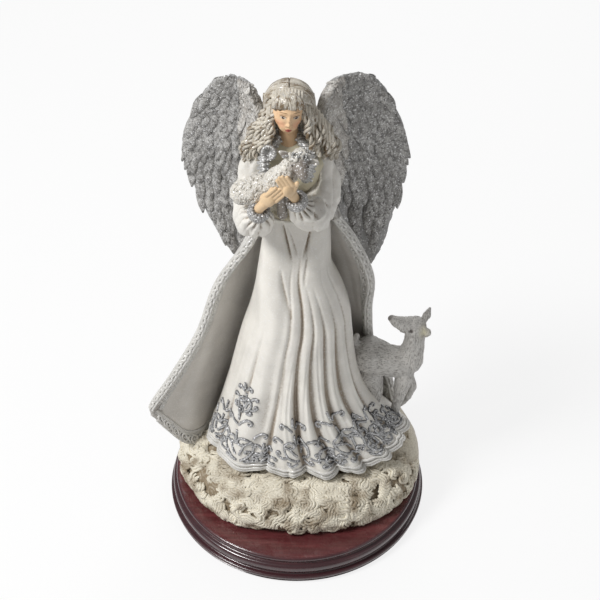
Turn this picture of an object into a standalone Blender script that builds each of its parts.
"""Cast resin angel holding a lamb, with a fawn beside it, on a turned wooden plinth.

Metres, +Z up. The origin is the centre of the felt on the table, and the figure faces -Y.
"Left" and "right" in the names are as seen from the front, so left is -X.
"""

import math

import bmesh
import bpy
import numpy as np
from mathutils import Matrix, Vector

MM = 0.001

# Driving dimensions, in millimetres.
GAP = 0.3  # left between pieces that touch
FELT_RADIUS = 74.0
FELT_THICKNESS = 1.2
PLINTH_RADIUS = 84.0
PLINTH_HEIGHT = 17.0
PLINTH_TOP_INSET = 4.5  # of the flat top from the widest part
PLINTH_GROOVE_DEPTH = 0.3  # under the edge of the top
PLINTH_BEAD_INSET = 1.7  # of the bead from the widest part
PLINTH_STEPS = 48
SCREW_CIRCLE = 44.0
SCREW_HEAD_RADIUS = 3.8
SCREW_HEAD_HEIGHT = 2.4
SCREW_SHANK_RADIUS = 1.9
SCREW_LENGTH = 26.0
DRIVER_ROOM = 2.2  # round the screw's head
COUNTERBORE_DEPTH = 3.0  # from the plinth's underside to the screw's head
CLOUD_RADIUS = 80.0  # where it is widest
CLOUD_HEIGHT = 28.2
FIGURE_HEIGHT = 262.6  # from the top of the cloud to the top of the wings
FAWN_HEIGHT = 99.0  # from its hooves to the tip of its ear
CLOUD_RUFFLE = 2.2
MANTLE_THICKNESS = 3.4
WING_ROLL_THICKNESS = 9.0
WING_BLADE_THICKNESS = 4.6
WING_EDGE_THICKNESS = 2.2
WING_FEATHER_RELIEF = 2.6  # how far the tip of a row of feathers stands over the next row
WING_FEATHER_ROWS = 8
NECK_RADIUS = 5.2
FAWN_LEG_RADIUS = 2.3

PLINTH_BOTTOM_Z = FELT_THICKNESS + GAP
PLINTH_TOP_Z = PLINTH_BOTTOM_Z + PLINTH_HEIGHT
PLINTH_TOP_RADIUS = PLINTH_RADIUS - PLINTH_TOP_INSET
PLINTH_GROOVE_RADIUS = PLINTH_TOP_RADIUS - PLINTH_GROOVE_DEPTH
PLINTH_BEAD_RADIUS = PLINTH_RADIUS - PLINTH_BEAD_INSET
SCREW_HEAD_Z = PLINTH_BOTTOM_Z + COUNTERBORE_DEPTH
SCREW_SEAT_Z = SCREW_HEAD_Z + SCREW_HEAD_HEIGHT
SCREW_TIP_Z = SCREW_SEAT_Z + SCREW_LENGTH
CLOUD_FOOT_Z = PLINTH_TOP_Z + GAP
CLOUD_TOP_Z = CLOUD_FOOT_Z + CLOUD_HEIGHT
# The tables below are drawn for these sizes, and the forms made from them are scaled to the ones above.
DRAWN_CLOUD_TOP_Z = 47.0
DRAWN_FIGURE_HEIGHT = 262.6
DRAWN_FAWN_HEIGHT = 99.0
DRAWN_FAWN_SPOT = (57.0, 7.0)
FIGURE_SCALE = FIGURE_HEIGHT / DRAWN_FIGURE_HEIGHT
FAWN_SCALE = FAWN_HEIGHT / DRAWN_FAWN_HEIGHT


def clear_scene():
    for obj in list(bpy.data.objects):
        bpy.data.objects.remove(obj, do_unlink=True)


def collection_named(name):
    made = bpy.data.collections.new(name)
    bpy.context.scene.collection.children.link(made)
    return made


def resin(name, color, roughness=0.5, metallic=0.0):
    material = bpy.data.materials.new(name)
    material.use_nodes = True
    shader = material.node_tree.nodes["Principled BSDF"]
    shader.inputs["Base Color"].default_value = (*color, 1.0)
    shader.inputs["Roughness"].default_value = roughness
    shader.inputs["Metallic"].default_value = metallic
    return material


def object_of(name, mesh, group, material=None):
    obj = bpy.data.objects.new(name, mesh)
    group.objects.link(obj)
    if material:
        mesh.materials.clear()
        mesh.materials.append(material)
    return obj


def helper_object(name, mesh):
    """A cutter or a form: it isn't part of the figurine."""
    obj = object_of(name, mesh, cutters)
    obj.hide_render = True
    obj.display_type = "WIRE"
    return obj


def applied(obj):
    """The mesh of obj with its modifiers applied. The object goes."""
    bpy.context.view_layer.update()
    graph = bpy.context.evaluated_depsgraph_get()
    mesh = bpy.data.meshes.new_from_object(obj.evaluated_get(graph))
    bpy.data.objects.remove(obj, do_unlink=True)
    return mesh


def mesh_of(name, points, faces):
    """Points are in millimetres."""
    mesh = bpy.data.meshes.new(name)
    mesh.from_pydata([tuple(c * MM for c in p) for p in points], [], faces)
    return mesh


# ---------------------------------------------------------------- curves and surfaces


def spline(points, count, closed=False):
    """This many points, evenly spaced in parameter, on a smooth curve through the given ones."""
    points = np.asarray(points, float)
    last = len(points) if closed else len(points) - 1
    where = np.linspace(0, last, count + 1)[:-1] if closed else np.linspace(0, last, count)
    start = np.minimum(where.astype(int), last - 1)
    t = (where - start).reshape((-1,) + (1,) * (points.ndim - 1))
    if closed:
        a, b, c, d = (points[(start + k) % len(points)] for k in (-1, 0, 1, 2))
    else:
        padded = np.concatenate([2 * points[:1] - points[1:2], points, 2 * points[-1:] - points[-2:-1]])
        a, b, c, d = (padded[start + k] for k in (0, 1, 2, 3))
    return 0.5 * (2 * b + (c - a) * t + (2 * a - 5 * b + 4 * c - d) * t**2 + (3 * b - 3 * c + d - a) * t**3)


def net(rows, across, down, closed=False):
    """A smooth grid (down, across, 3) through rows of control points."""
    wide = np.stack([spline(row, across, closed) for row in rows])
    return spline(wide, down)


def grid_normals(grid):
    along = np.gradient(grid, axis=1)
    down = np.gradient(grid, axis=0)
    normals = np.cross(along, down)
    return normals / np.maximum(np.linalg.norm(normals, axis=2, keepdims=True), 1e-9)


def slab_mesh(name, front, back):
    """A closed body between two grids of the same size."""
    down, across = front.shape[:2]
    count = down * across
    points = np.concatenate([front.reshape(-1, 3), back.reshape(-1, 3)])
    faces = []
    for i in range(down - 1):
        for j in range(across - 1):
            a, b = i * across + j, i * across + j + 1
            c, d = b + across, a + across
            faces.append((a, b, c, d))
            faces.append((count + d, count + c, count + b, count + a))
    ring = [j for j in range(across)]
    ring += [i * across + across - 1 for i in range(1, down)]
    ring += [(down - 1) * across + j for j in range(across - 2, -1, -1)]
    ring += [i * across for i in range(down - 2, 0, -1)]
    for a, b in zip(ring, ring[1:] + ring[:1]):
        faces.append((b, a, count + a, count + b))
    return faced_out(mesh_of(name, points, faces))


def tube_mesh(name, rings, top, bottom):
    """A closed body from rings stacked downwards, ended by a point above and one below."""
    down, around = rings.shape[:2]
    points = [*rings.reshape(-1, 3), top, bottom]
    faces = []
    for i in range(down - 1):
        for j in range(around):
            k = (j + 1) % around
            faces.append((i * around + j, i * around + k, (i + 1) * around + k, (i + 1) * around + j))
    for j in range(around):
        k = (j + 1) % around
        faces.append((j, down * around, k))
        faces.append(((down - 1) * around + j, (down - 1) * around + k, down * around + 1))
    return faced_out(mesh_of(name, points, faces))


def faced_out(mesh):
    work = bmesh.new()
    work.from_mesh(mesh)
    bmesh.ops.recalc_face_normals(work, faces=work.faces)
    if work.calc_volume(signed=True) < 0:
        bmesh.ops.reverse_faces(work, faces=work.faces)
    work.to_mesh(mesh)
    work.free()
    return mesh


# ---------------------------------------------------------------- modelled forms


def turned(direction):
    """The rotation that takes +Z to this direction."""
    return Vector(direction).to_track_quat("Z", "Y").to_matrix().to_4x4()


def ball(work, centre, radii, direction=(0, 0, 1)):
    """An ellipsoid. Its third radius lies along the direction."""
    place = Matrix.Translation(Vector(centre) * MM) @ turned(direction)
    size = Matrix.Diagonal((*[r * MM for r in radii], 1.0))
    bmesh.ops.create_icosphere(work, subdivisions=3, radius=1.0, matrix=place @ size)


def limb(work, *stations):
    """A rounded limb through stations (x, y, z, radius)."""
    for first, second in zip(stations, stations[1:]):
        a, b = np.array(first, float), np.array(second, float)
        steps = max(2, int(np.linalg.norm(b[:3] - a[:3]) / (0.35 * min(a[3], b[3]))))
        for k in range(steps + 1):
            x, y, z, r = a + (b - a) * k / steps
            ball(work, (x, y, z), (r, r, r))


def clay(name, model, voxel, triangles, smooth=4):
    """Balls and limbs fused into one skin of about this many triangles."""
    work = bmesh.new()
    model(work)
    mesh = bpy.data.meshes.new(name)
    work.to_mesh(mesh)
    work.free()
    obj = helper_object(name, mesh)
    remesh = obj.modifiers.new("skin", "REMESH")
    remesh.mode = "VOXEL"
    remesh.voxel_size = voxel * MM
    soften = obj.modifiers.new("soften", "SMOOTH")
    soften.iterations = smooth
    mesh = applied(obj)
    fine = sum(len(p.vertices) - 2 for p in mesh.polygons)
    obj = helper_object(name, mesh)
    thin = obj.modifiers.new("thin", "DECIMATE")
    thin.ratio = min(1.0, triangles / fine)
    return faced_out(only_largest(applied(obj)))


def only_largest(mesh):
    """Drops the stray chips that a cut can leave."""
    work = bmesh.new()
    work.from_mesh(mesh)
    bmesh.ops.remove_doubles(work, verts=work.verts, dist=2e-6)
    bmesh.ops.dissolve_degenerate(work, edges=work.edges, dist=2e-6)
    work.verts.ensure_lookup_table()
    seen = set()
    islands = []
    for start in work.verts:
        if start.index in seen:
            continue
        seen.add(start.index)
        stack = [start]
        island = []
        while stack:
            vert = stack.pop()
            island.append(vert)
            for edge in vert.link_edges:
                other = edge.other_vert(vert)
                if other.index not in seen:
                    seen.add(other.index)
                    stack.append(other)
        islands.append(island)
    largest = max(islands, key=len)
    stray = [vert for island in islands if island is not largest for vert in island]
    bmesh.ops.delete(work, geom=stray, context="VERTS")
    bmesh.ops.triangulate(work, faces=work.faces)
    work.to_mesh(mesh)
    work.free()
    return mesh


def grown(mesh, gap):
    """A copy of the mesh pushed out by the gap."""
    copy = mesh.copy()
    work = bmesh.new()
    work.from_mesh(copy)
    work.normal_update()
    moves = [vert.normal * gap * MM for vert in work.verts]
    for vert, move in zip(work.verts, moves):
        vert.co += move
    work.to_mesh(copy)
    work.free()
    return copy


def bounds_meet(a, b):
    one = np.array([v.co for v in a.vertices])
    two = np.array([v.co for v in b.vertices])
    margin = 2 * GAP * MM
    return bool((one.max(0) + margin > two.min(0)).all() and (two.max(0) + margin > one.min(0)).all())


def carved(mesh, others, gap=GAP):
    """The mesh with the others, grown by the gap, cut away."""
    for other in others:
        if not bounds_meet(mesh, other):
            continue
        body = helper_object("body", mesh)
        tool = helper_object("tool", grown(other, gap))
        cut = body.modifiers.new("cut", "BOOLEAN")
        cut.operation = "DIFFERENCE"
        cut.solver = "EXACT"
        cut.object = tool
        mesh = applied(body)
        bpy.data.objects.remove(tool, do_unlink=True)
        mesh = only_largest(mesh)
    return mesh


# ---------------------------------------------------------------- plinth, felt and screws


def lathe(name, profile, steps, group, material):
    """A solid of revolution about +Z. The profile runs down its outer side, in millimetres."""
    mesh = bpy.data.meshes.new(name)
    mesh.from_pydata([(r * MM, 0, z * MM) for r, z in profile], [(k, k + 1) for k in range(len(profile) - 1)], [])
    obj = object_of(name, mesh, group, material)
    turn = obj.modifiers.new("turn", "SCREW")
    turn.axis = "Z"
    turn.steps = steps
    turn.render_steps = steps
    turn.use_merge_vertices = True
    turn.merge_threshold = 0.00005
    return obj


def cut_with(obj, tool):
    tool.hide_render = True
    tool.display_type = "WIRE"
    cut = obj.modifiers.new(tool.name, "BOOLEAN")
    cut.operation = "DIFFERENCE"
    cut.solver = "EXACT"
    cut.object = tool


# (radius, share of the height) from the middle of the top down the moulded edge.
PLINTH_MOULDING = [
    (0.0, 1.0),
    (PLINTH_TOP_RADIUS - 1.0, 1.0),
    (PLINTH_TOP_RADIUS, 0.975),
    (PLINTH_TOP_RADIUS + 0.4, 0.915),
    (PLINTH_TOP_RADIUS + 0.2, 0.835),
    (PLINTH_GROOVE_RADIUS, 0.79),
    (PLINTH_GROOVE_RADIUS, 0.74),
    (PLINTH_BEAD_RADIUS - 1.1, 0.695),
    (PLINTH_BEAD_RADIUS, 0.565),
    (PLINTH_BEAD_RADIUS - 0.2, 0.435),
    (PLINTH_BEAD_RADIUS - 1.3, 0.33),
    (PLINTH_BEAD_RADIUS - 0.9, 0.27),
    (PLINTH_RADIUS - 0.6, 0.245),
    (PLINTH_RADIUS, 0.21),
    (PLINTH_RADIUS - 0.2, 0.14),
    (PLINTH_RADIUS - 1.4, 0.05),
    (PLINTH_RADIUS - 2.6, 0.0),
    (0.0, 0.0),
]
PLINTH_PROFILE = [(r, PLINTH_BOTTOM_Z + PLINTH_HEIGHT * share) for r, share in PLINTH_MOULDING]


SCREW_PROFILE = [
    (0.0, SCREW_TIP_Z),
    (0.6, SCREW_TIP_Z - 0.6),
    (SCREW_SHANK_RADIUS, SCREW_TIP_Z - 4.0),
    (SCREW_SHANK_RADIUS, SCREW_SEAT_Z),
    (SCREW_HEAD_RADIUS, SCREW_SEAT_Z),
    (SCREW_HEAD_RADIUS, SCREW_HEAD_Z + 0.8),
    (SCREW_HEAD_RADIUS - 0.8, SCREW_HEAD_Z),
    (0.0, SCREW_HEAD_Z),
]
# Under the plinth the hole for the head is wide enough for a driver.
BORE_PROFILE = [
    (0.0, SCREW_TIP_Z + GAP),
    (0.9, SCREW_TIP_Z - 0.6 + GAP),
    (SCREW_SHANK_RADIUS + GAP, SCREW_TIP_Z - 4.0 + GAP),
    (SCREW_SHANK_RADIUS + GAP, SCREW_SEAT_Z + GAP),
    (SCREW_HEAD_RADIUS + DRIVER_ROOM, SCREW_SEAT_Z + GAP),
    (SCREW_HEAD_RADIUS + DRIVER_ROOM, PLINTH_BOTTOM_Z - 1.0),
    (0.0, PLINTH_BOTTOM_Z - 1.0),
]


# ---------------------------------------------------------------- cloud, gown and mantle

# The cloud's outline every 22.5 degrees from +X, as shares of its radius, and how high its edge stands there.
CLOUD_OUTLINE = [1, 0.994, 0.963, 0.85, 0.775, 0.775, 0.85, 0.95, 0.956, 0.894, 0.85, 0.775, 0.756, 0.788, 0.875, 0.963]
CLOUD_RISE = [1.22, 1.3, 1.12, 1, 1, 1, 1, 0.9, 0.86, 0.96, 1, 1, 1, 1, 1, 1.08]
# (share of the outline radius, share of the height) from the foot to the middle.
CLOUD_SECTION = [
    (0.955, 0), (0.995, 0.15), (1.0, 0.32), (0.975, 0.5), (0.93, 0.68), (0.83, 0.85), (0.66, 0.95), (0.3, 1.0),
]


def cloud_mesh():
    around = 76
    angles = np.arange(around) * 2 * math.pi / around
    radii = CLOUD_RADIUS * spline(np.array(CLOUD_OUTLINE).reshape(-1, 1), around, True)[:, 0]
    rise = spline(np.array(CLOUD_RISE).reshape(-1, 1), around, True)[:, 0]
    rings = []
    for k, (share, height) in enumerate(spline(CLOUD_SECTION[::-1], 11)):
        level = CLOUD_FOOT_Z + CLOUD_HEIGHT * height * (1 + (rise - 1) * share**2)
        ruffle = np.sin(angles * 19 + 2.1 * k) + 0.7 * np.sin(angles * 31 - 1.7 * k)
        strength = CLOUD_RUFFLE * min(1, 3 * height) * (0.3 + 0.7 * share)
        out = np.minimum(radii * share + strength * ruffle * 0.6, PLINTH_TOP_RADIUS + 0.6)
        lift = 0 if height < 0.01 else strength * 0.7 * np.cos(angles * 23 + 1.3 * k)
        rings.append(np.stack([out * np.cos(angles), out * np.sin(angles), level + lift], 1))
    return tube_mesh("cloud_form", np.stack(rings), (0, 0, CLOUD_TOP_Z), (0, 0, CLOUD_FOOT_Z))


# (z, left, right, front, back) of the gown from the waist to the hem.
GOWN_LEVELS = [
    (229, -17.0, 17.8, -11.5, 12.5),
    (221, -18.0, 19.0, -13.5, 15.5),
    (207, -19.8, 19.8, -16.5, 19.5),
    (191, -22.0, 20.6, -21.0, 22.5),
    (176, -24.2, 26.6, -25.0, 25.5),
    (159, -27.8, 31.6, -28.5, 28.5),
    (143, -32.6, 33.0, -31.0, 31.5),
    (125, -37.0, 34.6, -33.0, 34.0),
    (108, -41.0, 37.6, -35.0, 36.5),
    (90, -46.0, 44.0, -37.0, 38.5),
    (72, -51.0, 54.5, -39.0, 40.5),
    (58, -55.0, 66.0, -40.5, 41.5),
    (50, -56.5, 71.0, -40.0, 41.5),
]
# Where the body shows through: (z, degrees, height, width in degrees, depth).
GOWN_BULGES = [
    (190, 226, 26, 26, 4.2),
    (160, 246, 20, 18, 2.4),
    (198, 304, 26, 20, 2.2),
    (206, 268, 16, 14, -1.6),
]
# Folds: (degrees at the waist, degrees at the hem, first z, width in degrees, depth at the hem).
GOWN_FOLDS = [
    (262, 238, 200, 7, -3.4),
    (268, 252, 172, 5, -2.2),
    (273, 262, 150, 4.5, 1.8),
    (276, 271, 205, 5, -3.0),
    (280, 280, 160, 4.5, 1.9),
    (283, 289, 165, 4.5, -2.8),
    (288, 299, 160, 4.5, 1.9),
    (292, 308, 170, 5, -2.8),
    (300, 317, 160, 4.5, 1.8),
    (306, 326, 180, 5, -2.6),
    (316, 337, 175, 5, 1.8),
    (328, 347, 185, 6, -2.4),
    (345, 358, 170, 6, 1.6),
    (246, 232, 120, 12, 2.6),
    (225, 205, 120, 7, -1.8),
    (212, 192, 120, 7, 1.4),
]


def gown_ring(level, angles):
    """Points of the gown at this height."""
    table = np.array(GOWN_LEVELS)
    order = np.argsort(table[:, 0])
    left, right, front, back = (np.interp(level, table[order, 0], table[order, k]) for k in (1, 2, 3, 4))
    middle = (left + right) / 2
    cos, sin = np.cos(angles), np.sin(angles)
    power = 2.0 + 0.3 * np.clip((140 - level) / 90, 0, 1) * (sin < 0)
    share = (np.abs(cos) ** power + np.abs(sin) ** power) ** (-1 / power)
    wide = (right - left) / 2
    deep = np.where(sin < 0, -front, back)
    out = np.zeros(len(angles))
    degrees = np.degrees(angles) % 360
    for top, hem, start, width, depth in GOWN_FOLDS:
        if level < start:
            fall = (start - level) / (start - 50)
            at = top + (hem - top) * (229 - level) / 179
            away = (degrees - at + 180) % 360 - 180
            out += depth * min(1, 1.6 * fall) ** 0.8 * np.exp(-((away / width) ** 2))
    for height, bearing, reach, width, depth in GOWN_BULGES:
        away = (degrees - bearing + 180) % 360 - 180
        out += depth * np.exp(-((away / width) ** 2) - ((level - height) / reach) ** 2)
    return np.stack([middle + (wide + out) * share * cos, (deep + out) * share * sin, np.full(len(angles), level)], 1)


def gown_mesh():
    around = 60
    angles = np.arange(around) * 2 * math.pi / around
    levels = [229, 218, 204, 189, 172, 154, 134, 112, 91, 71, 58, 50]
    rings = [gown_ring(z, angles) for z in levels]
    # The hem rises over the cloud at the right, and turns under.
    lift = 6.0 * np.clip(np.cos(angles + math.radians(8)), 0, 1) ** 4
    for ring, share in ((rings[-1], 1.0), (rings[-2], 0.6)):
        ring[:, 2] += lift * share
    under = rings[-1] * (0.955, 0.95, 1) + (0.3, 0, -1.2)
    inside = rings[-1] * (0.90, 0.89, 1) + (0.6, 0, 1.6)
    return tube_mesh("gown_form", np.stack([*rings, under, inside]), (0.4, 0.5, 229), (6, 0, 52.5))


# Outer face of the mantle, from its left front edge round the back to its right front edge.
MANTLE_ROWS = [
    [(-17, -2, 233), (-20, 5, 237), (-18, 11, 242), (-11, 16, 246), (-1, 18, 247), (9, 16, 246), (16, 11, 242),
     (19.5, 5, 237), (19, -2, 231)],
    [(-27.5, 0, 207), (-27, 9, 207), (-22, 17, 208), (-12, 22, 208), (-1, 24, 208), (10, 22, 208), (20, 17, 208),
     (27, 11, 207), (34, 4, 206)],
    [(-47.5, -2, 177), (-39, 11, 176), (-28, 22, 176), (-14, 28, 176), (0, 30, 176), (14, 28, 176), (28, 23, 176),
     (37, 16, 176), (45.5, 6, 175)],
    [(-60, -6, 142), (-50, 8, 143), (-35, 24, 143), (-17, 33, 143), (0, 36, 143), (17, 33, 143), (33, 27, 143),
     (42, 20, 143), (45.5, 12, 143)],
    [(-77, -9, 110), (-60, 7, 110), (-41, 26, 108), (-20, 38, 106), (0, 41, 105), (19, 38, 106), (37, 31, 106),
     (45, 26, 107), (49, 19, 108)],
    [(-92, -10, 84.5), (-69, 5, 80), (-47, 29, 74), (-23, 42, 71), (0, 45, 70), (22, 42, 70), (42, 35, 71),
     (55, 32, 74), (61, 26, 76)],
    [(-92.5, -9, 76), (-71, -1, 41), (-52, 29, 38), (-26, 45, 37), (0, 49, 37), (24, 46, 37), (46, 38, 38),
     (60, 35, 41), (67, 28, 47)],
]


def mantle_mesh():
    outer = net(MANTLE_ROWS, 28, 14)
    normals = grid_normals(outer)
    if normals[7, 14, 1] < 0:
        normals = -normals
    folds = 0.9 * np.sin(np.linspace(0, 7 * math.pi, 28))[None, :, None] * np.linspace(0, 1, 14)[:, None, None]
    edge = np.clip(np.minimum(np.arange(28), 27 - np.arange(28)) / 5, 0, 1)[None, :, None]
    outer = outer + normals * folds * edge
    return slab_mesh("mantle_form", outer, outer - normals * MANTLE_THICKNESS / FIGURE_SCALE)


# ---------------------------------------------------------------- wings

# Inner edge x, z, y then outer edge x, z, y of each wing from its crown to its tip.
LEFT_WING_ROWS = [
    (-28.5, 300.5, 21, -35.5, 301.2, 25),
    (-23.0, 297.5, 16, -45.0, 294.5, 29),
    (-20.0, 291.0, 13, -52.5, 283.0, 32),
    (-18.5, 280.0, 11, -58.0, 268.0, 35),
    (-17.0, 266.0, 10, -62.5, 250.0, 37),
    (-14.0, 250.0, 12, -62.8, 233.0, 37.5),
    (-12.0, 232.0, 14, -58.5, 214.5, 36),
    (-14.0, 214.0, 18, -52.0, 198.0, 33),
    (-20.0, 196.0, 22, -44.0, 182.5, 30),
    (-30.0, 180.0, 26, -37.0, 173.5, 28),
]
RIGHT_WING_ROWS = [
    (20.5, 301.4, 20, 33.5, 302.2, 26),
    (16.4, 298.6, 16, 43.0, 296.2, 29),
    (14.0, 293.5, 13, 50.5, 284.8, 32),
    (13.5, 281.0, 11, 55.5, 270.0, 35),
    (13.5, 266.0, 10, 61.0, 252.5, 37),
    (12.0, 250.0, 12, 62.8, 236.0, 38),
    (10.5, 232.0, 14, 61.8, 216.0, 37),
    (12.5, 214.0, 18, 57.0, 199.0, 34.5),
    (18.5, 196.0, 22, 52.2, 180.0, 31),
    (32.0, 175.0, 27, 45.5, 166.0, 28.5),
]


def wing_mesh(rows, side):
    down, across = 4 * WING_FEATHER_ROWS + 2, 9
    rows = spline(np.array(rows, float), down)
    u = np.linspace(0, 1, across)
    front = np.empty((down, across, 3))
    back = np.empty((down, across, 3))
    for i, (xi, zi, yi, xo, zo, yo) in enumerate(rows):
        fall = i / (down - 1)
        roll = np.clip(1 - fall / 0.5, 0, 1) ** 0.5 * np.clip(fall / 0.06, 0.25, 1)
        x = xi + (xo - xi) * u
        z = zi + (zo - zi) * u
        y = yi + (yo - yi) * u**0.8 + 3.0 * np.sin(math.pi * u) * np.clip(fall * 4, 0, 1)
        step = np.clip((0.30 - u) / 0.16, 0, 1)
        thick = WING_BLADE_THICKNESS + (WING_EDGE_THICKNESS - WING_BLADE_THICKNESS) * u
        thick = thick * np.clip(fall * 6 + 0.45, 0, 1) * np.clip((1 - fall) * 5 + 0.4, 0, 1)
        row = (fall * WING_FEATHER_ROWS + 0.5 * (np.arange(across) % 2)) % 1
        feather = WING_FEATHER_RELIEF * row * np.clip(fall * 8, 0, 1) * np.clip((0.86 - fall) * 6, 0, 1)
        feather = feather * (1 - np.clip((fall - 0.35) * 5, 0, 1) * np.clip((0.75 - u) * 4, 0, 1))
        bulge = step * roll * (WING_ROLL_THICKNESS - WING_BLADE_THICKNESS)
        front[i] = np.stack([x, y - (bulge + feather) / FIGURE_SCALE, z], 1)
        back[i] = np.stack([x, y + (thick + 0.7 * feather) / FIGURE_SCALE, z], 1)
        tooth = -1.3 * side * (2 * ((fall * 12) % 1) - 1) * np.clip((fall - 0.2) * 5, 0, 1)
        front[i, -1, 0] -= tooth
        back[i, -1, 0] -= tooth
    return slab_mesh("wing_form", front, back)


# ---------------------------------------------------------------- the figure


def bodice(work):
    ball(work, (-0.5, 0.5, 230), (16.5, 12, 8))
    ball(work, (-2, 0, 244), (17.5, 13, 16))
    ball(work, (-3, -2, 257), (17.5, 13.5, 12))
    limb(work, (-19, 1, 261.5, 8.5), (12, 1, 261.5, 8.5))
    ball(work, (-4.0, 0.5, 269), (12, 8.4, 8))


def head(work):
    ball(work, (-4.3, -3.4, 297.2), (8.6, 10.0, 11.0))
    ball(work, (-4.3, -8.2, 291.8), (5.5, 5.0, 5.2))
    neck = NECK_RADIUS / FIGURE_SCALE
    limb(work, (-4.0, 1.0, 262, neck), (-4.2, -1.5, 288, neck))
    limb(work, (-4.3, -13.4, 296.8, 0.8), (-4.3, -14.3, 294.4, 1.2))


def hair(work):
    ball(work, (-3.6, 2.6, 297.6), (12.8, 12.0, 11.8))
    ball(work, (-4.0, -6.6, 303.2), (8.8, 5.0, 4.6))
    ball(work, (-4.0, -3.0, 304.6), (9.6, 8.0, 5.0))
    limb(work, (-12.8, -4, 298, 3.6), (-15.0, -6.6, 289, 3.4), (-15.4, -8.5, 280, 3.4), (-15.6, -9.5, 275.0, 2.8))
    limb(work, (-14.0, 1, 294, 4.0), (-18.0, -0.5, 285, 4.2), (-22.5, -2, 276, 4.4), (-25.0, -4, 269, 4.0))
    limb(work, (5.0, -4, 298, 3.6), (7.6, -6.4, 290, 3.8), (9.0, -8.5, 282, 3.8), (9.6, -9, 276.5, 3.2))
    limb(work, (7.0, 1, 295, 4.2), (13.0, -1.0, 286, 5.0), (17.0, -3, 278, 5.0), (17.6, -4, 272.5, 4.0))
    ball(work, (-3.6, 8, 290), (13.5, 8.5, 14))
    ball(work, (-4.0, 13, 274), (14.5, 6, 17))
    ball(work, (-4.0, 15, 258), (11, 4.6, 12))


def collar(work):
    path = [(-14.5, -19, 261), (-17, -14.5, 266.5), (-16, -9, 272.5), (-11.5, -4.5, 277), (-7, 2, 279.5),
            (-1, 2, 279.5), (4, -4, 277.5), (9, -9, 273.5), (10.5, -14.5, 267), (9, -19, 261)]
    for k, (x, y, z) in enumerate(spline(path, 34)):
        r = 2.7 + 0.5 * (k % 2)
        ball(work, (x, y, z), (r, r, r))
    ball(work, (-13.0, -9.5, 275.5), (3.4, 2.4, 3.4), (-0.3, -1, 0.8))


def left_hand(work):
    limb(work, (-21.0, -30, 248, 2.7), (-19.4, -35.4, 256.5, 2.7), (-16.8, -37.6, 261.0, 2.9))
    ball(work, (-15.0, -38.6, 264.2), (2.5, 4.2, 4.8), (0.62, -0.3, 0.72))
    for k, reach in enumerate((7.6, 9.2, 9.0, 7.4)):
        side = (k - 1.5) * 2.1
        x, z = -13.0 + 0.74 * side, 266.0 - 0.62 * side
        limb(work, (x, -39.6, z, 1.45), (x + 0.62 * reach, -40.6 - 0.05 * reach, z + 0.72 * reach, 1.1))
    limb(work, (-15.5, -38.6, 266.0, 1.5), (-12.5, -38.0, 270.5, 1.25))


def right_hand(work):
    limb(work, (1.5, -33, 257, 2.6), (-1.0, -37.6, 265.0, 2.6), (-2.4, -39.8, 269.0, 2.8))
    ball(work, (-3.4, -41.2, 272.6), (2.5, 4.1, 4.6), (-0.35, -0.3, 0.88))
    for k, reach in enumerate((6.6, 7.8, 7.8, 6.4)):
        side = (k - 1.5) * 2.0
        x, z = -4.2 + 0.86 * side, 275.2 + 0.36 * side
        limb(work, (x, -42.2, z, 1.4), (x - 0.46 * reach, -42.6, z + 0.8 * reach, 1.05))
    limb(work, (-1.0, -41, 272.8, 1.5), (0.6, -42, 277.2, 1.2))


def cuff(centre, direction):
    def model(work):
        ball(work, centre, (4.9, 4.9, 3.0), direction)
        side = Vector(direction).orthogonal().normalized()
        for k in range(8):
            turn = Matrix.Rotation(k * 2 * math.pi / 8, 3, Vector(direction).normalized())
            spot = Vector(centre) + 4.2 * (turn @ side)
            ball(work, spot, (1.9, 1.9, 1.9))
    return model


def left_sleeve(work):
    limb(work, (-20.0, 1, 262, 8.6), (-24.0, -1, 252, 9.2), (-24.8, -7, 243, 10.6), (-24.2, -15, 238.5, 11.6),
         (-22.8, -22, 238.5, 11.2), (-21.6, -28, 244, 8.6), (-20.4, -32, 249.4, 5.4))


def right_sleeve(work):
    limb(work, (12.5, 1, 262, 8.6), (15.0, -1, 252, 9.6), (14.4, -8, 243, 10.6), (11.0, -16, 240.5, 11.4),
         (6.6, -23, 242.5, 10.2), (3.4, -29, 249.0, 8.2), (1.0, -33.6, 257.4, 5.2))


def lamb(work):
    ball(work, (-20.0, -26.5, 262.5), (6.8, 7.6, 13.5), (1, -0.1, 0.42))
    ball(work, (-29.0, -25.0, 259.0), (5.8, 6.2, 6.0))
    ball(work, (-10.0, -29.5, 269.5), (6.4, 6.6, 8.0), (0.7, -0.1, 0.8))
    limb(work, (-7.5, -31, 273, 5.6), (-3.0, -33.4, 280.0, 5.0), (0.6, -34.6, 284.5, 5.0))
    ball(work, (1.6, -35.6, 286.0), (5.6, 5.2, 5.0))
    limb(work, (2.4, -38.6, 284.6, 4.1), (3.6, -42.4, 282.6, 2.8))
    ball(work, (3.0, -34.6, 290.0), (4.4, 3.2, 2.6))
    limb(work, (-2.2, -34.5, 287.5, 1.3), (-5.6, -35.0, 290.0, 2.0), (-8.2, -35.4, 292.2, 0.9))
    limb(work, (5.6, -35.5, 287.0, 1.3), (8.4, -36.6, 287.2, 1.7), (10.8, -37.2, 287.4, 0.9))
    limb(work, (-8.0, -28, 264, 3.8), (-7.6, -28.5, 254, 3.0), (-7.4, -27.5, 246, 2.7))
    for x, y, z in ((-32, -28, 262), (-26, -30.5, 266), (-19, -32, 269), (-29.5, -30, 258), (-13, -33.5, 271),
                    (-24, -25, 269), (-6, -35.5, 277), (-16, -27, 272), (-22, -32.5, 263), (-34, -23, 258)):
        ball(work, (x, y, z), (2.4, 2.4, 2.4))


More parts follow.
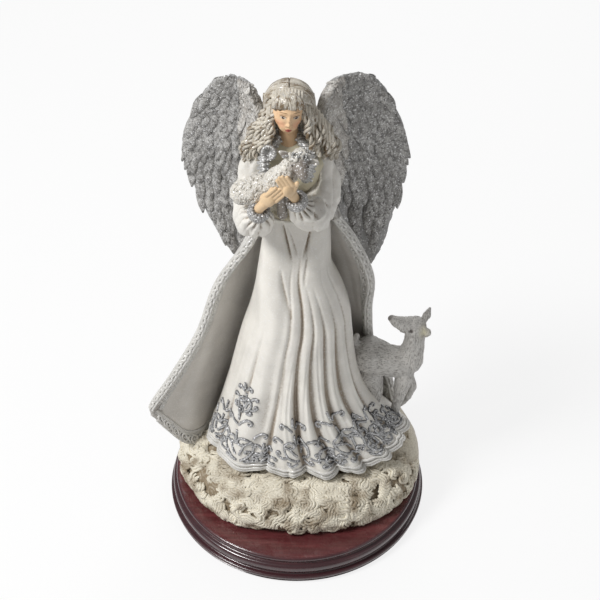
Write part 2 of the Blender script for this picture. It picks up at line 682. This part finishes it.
def fawn(work):
    r = FAWN_LEG_RADIUS / FAWN_SCALE
    limb(work, (45, 7, 111.5, 11.8), (55, 7, 106.8, 10.6), (66.5, 7, 104.0, 9.8))
    limb(work, (70, 7, 107, 9.0), (72.4, 7.5, 118, 6.8), (73.0, 8, 127, 6.4))
    ball(work, (72.4, 8, 133), (7.4, 6.8, 7.4))
    limb(work, (68.0, 7.5, 135.0, 5.6), (60.5, 6, 139.2, 4.0), (56.6, 5, 143.0, 2.2))
    limb(work, (77.0, 10.5, 135.0, 2.2), (79.6, 11.5, 139.5, 2.5), (81.0, 12, 145.0, 1.0))
    limb(work, (77.5, 5.0, 134.5, 2.2), (80.0, 4.5, 132.0, 2.4), (79.5, 4.5, 129.5, 1.3))
    limb(work, (37.6, 7, 119, 3.0), (35.0, 7, 123.0, 3.0), (37.0, 7, 126.5, 2.0))
    limb(work, (67.5, 2.6, 97, 6.0), (66.0, 2.5, 86, 4.6), (64.2, 3.0, 74, 3.2), (62.4, 4.0, 58, r), (62.2, 4, 47, r + 0.6))
    limb(work, (69.5, 12.5, 96, 5.4), (71.4, 13.0, 86, 3.6), (73.6, 12.5, 78, 3.4), (71.4, 12, 70, 2.8), (67.6, 12, 63.5, 2.2))
    limb(work, (46.0, 2.6, 99, 7.6), (50.0, 2.6, 86, 4.8), (50.0, 4, 72, 3.4), (51.5, 5.5, 58, r), (52.0, 6, 47, r + 0.6))
    limb(work, (46.0, 12.0, 99, 7.0), (49.5, 13.0, 85, 4.4), (51.5, 14, 72, 3.0), (50.5, 15, 58, r), (51.0, 15, 47, r + 0.5))


clear_scene()
figurine = collection_named("resin_angel_figurine")
cutters = collection_named("cutters")

pearl = resin("pearl_resin", (0.80, 0.78, 0.73), 0.45)
ivory = resin("ivory_cloud_resin", (0.82, 0.78, 0.70), 0.6)
silver_glitter = resin("silver_glitter_resin", (0.62, 0.63, 0.66), 0.35, 0.3)
wing_silver = resin("wing_resin", (0.52, 0.52, 0.55), 0.5, 0.15)
fawn_grey = resin("fawn_resin", (0.47, 0.46, 0.47), 0.5, 0.1)
hair_cream = resin("hair_resin", (0.66, 0.62, 0.55), 0.45)
skin_tone = resin("skin_resin", (0.78, 0.50, 0.30), 0.5)
bodice_cream = resin("bodice_resin", (0.66, 0.62, 0.46), 0.5)
mahogany = resin("mahogany_lacquer", (0.075, 0.022, 0.022), 0.15)
black_felt = resin("black_felt", (0.02, 0.02, 0.02), 0.95)
zinc_steel = resin("zinc_steel", (0.55, 0.55, 0.56), 0.35, 1.0)

# Forms, before the pieces that seat in each other are cut.
form = {
    "hand_right": clay("hand_right_form", right_hand, 0.5, 440, 2),
    "hand_left": clay("hand_left_form", left_hand, 0.5, 440, 2),
    "cuff_left": clay("cuff_left_form", cuff((-19.9, -33.6, 252.6), (0.2, -0.52, 0.83)), 0.7, 200, 2),
    "cuff_right": clay("cuff_right_form", cuff((0.2, -35.8, 261.6), (-0.28, -0.5, 0.82)), 0.7, 200, 2),
    "lamb": clay("lamb_form", lamb, 0.8, 760, 3),
    "head": clay("head_form", head, 0.8, 460, 5),
    "hair": clay("hair_form", hair, 0.9, 820, 4),
    "collar": clay("collar_form", collar, 0.8, 420, 3),
    "sleeve_left": clay("sleeve_left_form", left_sleeve, 1.1, 440, 6),
    "sleeve_right": clay("sleeve_right_form", right_sleeve, 1.1, 440, 6),
    "gown_bodice": clay("bodice_form", bodice, 1.2, 320, 8),
    "fawn": clay("fawn_form", fawn, 0.8, 1250, 4),
    "wing_left": wing_mesh(LEFT_WING_ROWS, -1),
    "wing_right": wing_mesh(RIGHT_WING_ROWS, 1),
    "gown_skirt": gown_mesh(),
    "mantle": mantle_mesh(),
    "cloud_base": cloud_mesh(),
}
for name, mesh in form.items():
    if name == "fawn":
        x, y = DRAWN_FAWN_SPOT
        place = Vector((x * FIGURE_SCALE, y * FIGURE_SCALE, CLOUD_TOP_Z)) * MM
        drawn_from = Vector((x, y, DRAWN_CLOUD_TOP_Z)) * MM
        mesh.transform(Matrix.Translation(place) @ Matrix.Scale(FAWN_SCALE, 4) @ Matrix.Translation(-drawn_from))
    elif name != "cloud_base":
        place = Vector((0, 0, CLOUD_TOP_Z * MM))
        drawn_from = Vector((0, 0, DRAWN_CLOUD_TOP_Z * MM))
        mesh.transform(Matrix.Translation(place) @ Matrix.Scale(FIGURE_SCALE, 4) @ Matrix.Translation(-drawn_from))
# What each piece makes room for.
gives_way_to = {
    "hand_left": ("hand_right",),
    "cuff_left": ("hand_left", "hand_right"),
    "cuff_right": ("hand_right", "hand_left", "cuff_left"),
    "fawn": ("gown_skirt",),
    "lamb": ("hand_left", "hand_right", "cuff_left", "cuff_right"),
    "hair": ("head",),
    "collar": ("head", "hair", "lamb", "hand_left", "hand_right"),
    "sleeve_left": ("hand_left", "cuff_left", "lamb", "hair", "collar"),
    "sleeve_right": ("hand_right", "cuff_right", "lamb", "hair", "collar", "cuff_left", "hand_left"),
    "gown_bodice": ("head", "hair", "collar", "lamb", "sleeve_left", "sleeve_right", "hand_left", "hand_right"),
    "wing_left": ("hair", "sleeve_left", "gown_bodice", "lamb", "collar"),
    "wing_right": ("hair", "sleeve_right", "gown_bodice", "collar", "wing_left"),
    "gown_skirt": ("gown_bodice", "sleeve_left", "sleeve_right", "lamb", "wing_left", "wing_right"),
    "mantle": ("gown_skirt", "gown_bodice", "sleeve_left", "sleeve_right", "wing_left", "wing_right", "fawn", "hair"),
    "cloud_base": ("gown_skirt", "mantle", "fawn"),
}
finish = {
    "hand_right": skin_tone,
    "hand_left": skin_tone,
    "cuff_left": silver_glitter,
    "cuff_right": silver_glitter,
    "lamb": silver_glitter,
    "head": skin_tone,
    "hair": hair_cream,
    "collar": silver_glitter,
    "sleeve_left": pearl,
    "sleeve_right": pearl,
    "gown_bodice": bodice_cream,
    "fawn": fawn_grey,
    "wing_left": wing_silver,
    "wing_right": wing_silver,
    "gown_skirt": pearl,
    "mantle": pearl,
    "cloud_base": ivory,
}
pieces = {}
for name, mesh in form.items():
    cut = carved(mesh.copy(), [form[other] for other in gives_way_to.get(name, ())])
    cut.shade_smooth()
    pieces[name] = object_of(name, cut, figurine, finish[name])

felt = lathe(
    "felt_pad",
    [(0, FELT_THICKNESS), (FELT_RADIUS, FELT_THICKNESS), (FELT_RADIUS, 0), (0, 0)],
    48,
    figurine,
    black_felt,
)
plinth = lathe("plinth", PLINTH_PROFILE, PLINTH_STEPS, figurine, mahogany)
for number, bearing in enumerate((90, 210, 330), 1):
    spot = (
        SCREW_CIRCLE * MM * math.cos(math.radians(bearing)),
        SCREW_CIRCLE * MM * math.sin(math.radians(bearing)),
        0,
    )
    screw = lathe(f"plinth_screw_{number}", SCREW_PROFILE, 12, figurine, zinc_steel)
    screw.location = spot
    bore = lathe(f"screw_bore_{number}", BORE_PROFILE, 12, cutters, None)
    bore.location = spot
    cut_with(plinth, bore)
    cut_with(pieces["cloud_base"], bore)
